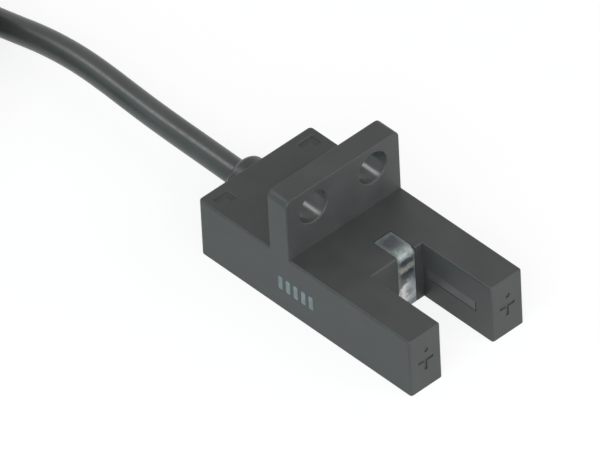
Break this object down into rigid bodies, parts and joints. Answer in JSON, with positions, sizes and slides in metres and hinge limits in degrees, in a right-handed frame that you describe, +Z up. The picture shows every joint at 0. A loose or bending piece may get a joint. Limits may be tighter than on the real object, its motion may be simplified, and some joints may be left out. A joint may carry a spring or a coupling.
{
  "type": "fork photoelectric sensor",
  "caption": "Micro fork light barrier: moulded fork with a screw flange on its back, slit windows in the arms, a clear indicator guide and a round cable wound into a tied coil.",
  "frame": {"origin": "bottom centre of the housing, without the bushing and the cable", "axes": "+X across the fork towards the receiver arm, +Y from the fork's tips to the cable end, +Z up from the base"},
  "size_m": [0.0446, 0.0892, 0.0128],
  "materials": {
    "housing_plastic": "moulded black PBT, fine satin",
    "cover_plastic": "moulded black polycarbonate",
    "clear_plastic": "clear polished polycarbonate",
    "filter_plastic": "dark infrared filter, polished",
    "emitter_epoxy": "tinted clear epoxy",
    "receiver_epoxy": "daylight-blocking epoxy",
    "board_laminate": "solder-masked glass laminate",
    "chip_epoxy": "moulded epoxy with tinned legs",
    "indicator_lens": "clear resin on a white carrier",
    "resistor_film": "glazed film on ceramic",
    "capacitor_ceramic": "sintered ceramic",
    "bushing_rubber": "soft moulded black",
    "crimp_metal": "tinned steel",
    "cable_jacket": "extruded black PVC, soft gloss",
    "core_brown_pvc": "extruded PVC",
    "core_black_pvc": "extruded PVC",
    "core_white_pvc": "extruded PVC",
    "core_blue_pvc": "extruded PVC",
    "tie_plastic": "PVC-covered wire"
  },
  "bodies": {
    "root": {"housing": "housing_plastic", "base_cover": "cover_plastic", "light_guide": "clear_plastic", "emitter_window": "filter_plastic", "receiver_window": "filter_plastic", "infrared_emitter": "emitter_epoxy", "light_receiver": "receiver_epoxy", "circuit_board": "board_laminate", "control_chip": "chip_epoxy", "output_transistor": "chip_epoxy", "protection_diode": "chip_epoxy", "indicator_led": "indicator_lens", "chip_resistors": "resistor_film", "chip_capacitors": "capacitor_ceramic", "cable_bushing": "bushing_rubber", "crimp_ring": "crimp_metal", "cable": "cable_jacket", "core_brown": "core_brown_pvc", "core_black": "core_black_pvc", "core_white": "core_white_pvc", "core_blue": "core_blue_pvc", "cable_coil": "cable_jacket", "coil_tie": "tie_plastic"}
  },
  "joints": []
}
